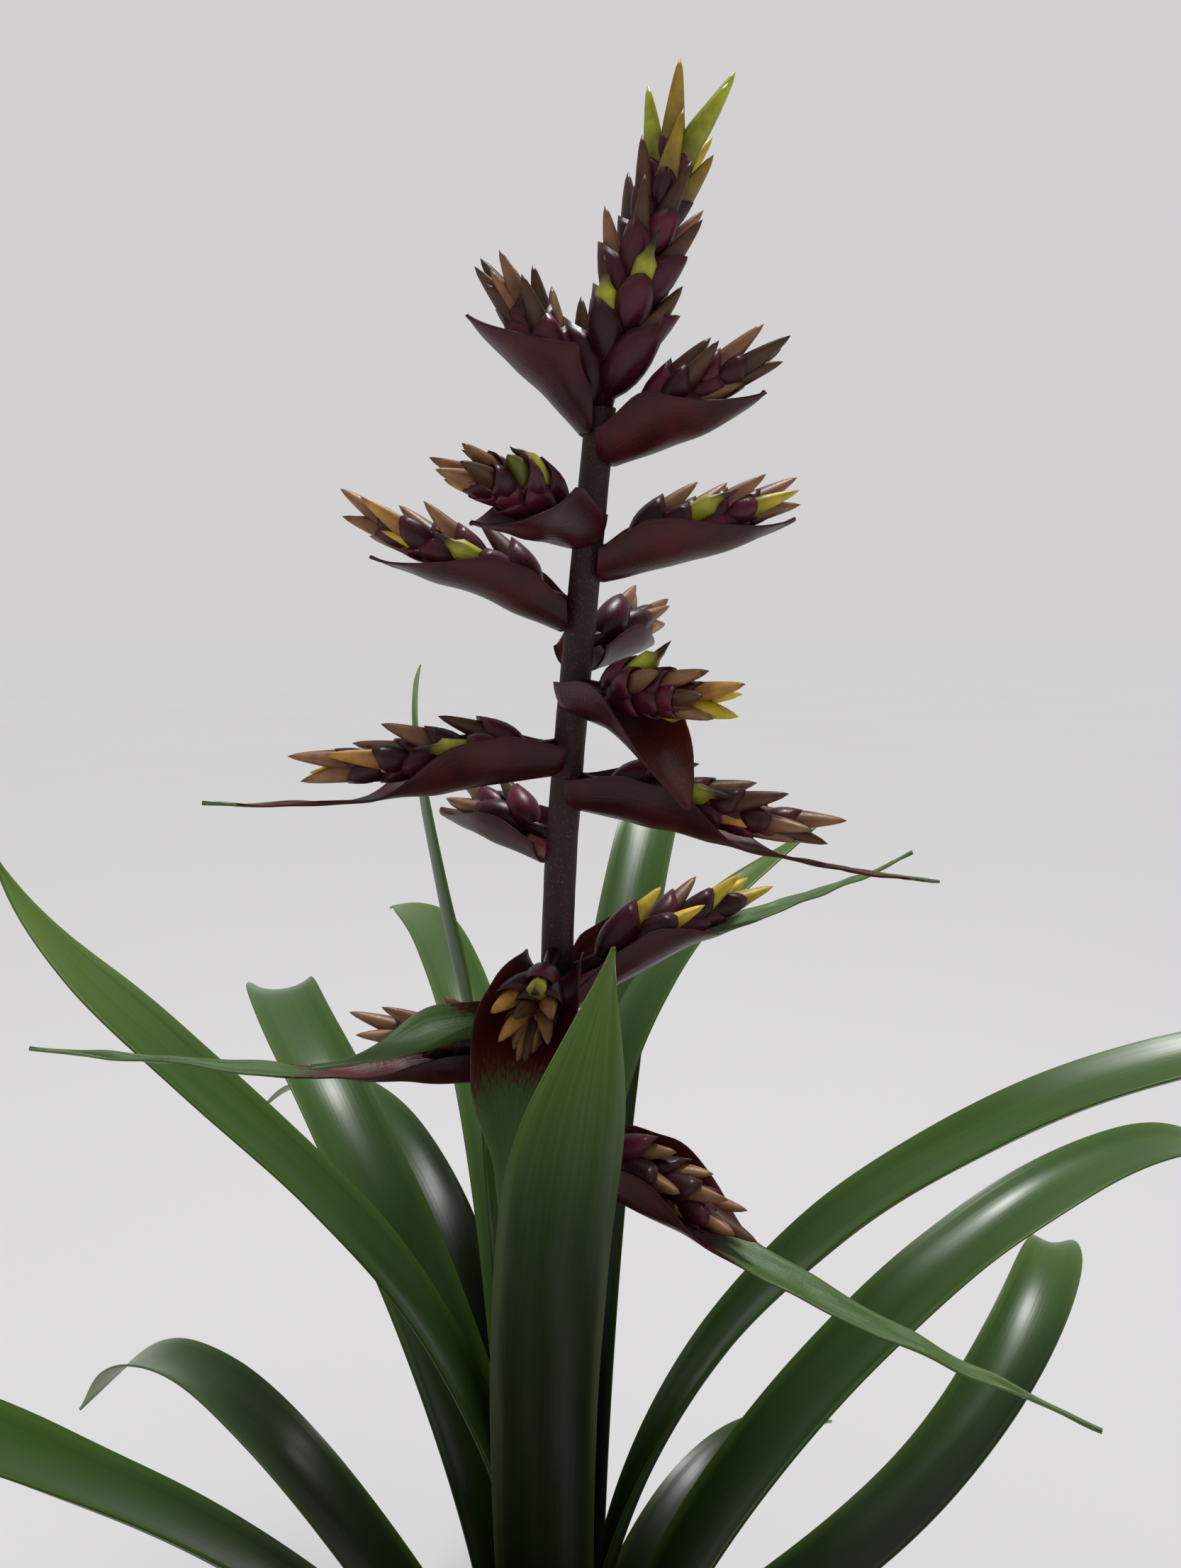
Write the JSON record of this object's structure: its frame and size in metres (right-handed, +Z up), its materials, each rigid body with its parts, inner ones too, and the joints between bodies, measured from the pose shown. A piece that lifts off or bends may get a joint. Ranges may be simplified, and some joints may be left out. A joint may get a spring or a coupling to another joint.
{
  "type": "potted bromeliad",
  "caption": "Potted bromeliad: arching strap leaves round an upright flower spike with dark leafy bracts and clusters of pointed flowers, in a plain round pot.",
  "frame": {"origin": "middle of the underside of the pot, on the surface it stands on", "axes": "+Z up, -Y towards the viewer of the picture, +X to the viewer's right"},
  "size_m": [0.6413, 0.6666, 0.6728],
  "materials": {
    "pot": "satin",
    "soil": "matte",
    "stem": "matte",
    "leaf": "glossy",
    "bract": "satin",
    "flower": "satin"
  },
  "bodies": {
    "root": {"pot": "pot", "soil": "soil", "stem": "stem", "leaf_01": "leaf", "leaf_02": "leaf", "leaf_03": "leaf", "leaf_04": "leaf", "leaf_05": "leaf", "leaf_06": "leaf", "leaf_07": "leaf", "leaf_08": "leaf", "leaf_09": "leaf", "leaf_10": "leaf", "leaf_11": "leaf", "leaf_12": "leaf", "leaf_13": "leaf", "leaf_14": "leaf", "leaf_15": "leaf", "leaf_16": "leaf", "leaf_17": "leaf", "leaf_18": "leaf", "leaf_19": "leaf", "bract_02": "bract", "bract_03": "bract", "bract_04": "bract", "bract_05": "bract", "bract_06": "bract", "bract_07": "bract", "bract_08": "bract", "bract_09": "bract", "bract_10": "bract", "bract_11": "bract", "bract_12": "bract", "bract_13": "bract", "bract_14": "bract", "bract_15": "bract", "bract_16": "bract", "flower_head_01": "flower", "flower_head_02": "flower", "flower_head_03": "flower", "flower_head_04": "flower", "flower_head_05": "flower", "flower_head_06": "flower", "flower_head_07": "flower", "flower_head_08": "flower", "flower_head_09": "flower", "flower_head_10": "flower", "flower_head_11": "flower", "flower_head_12": "flower", "flower_head_13": "flower", "flower_head_14": "flower", "flower_head_15": "flower"}
  },
  "joints": []
}
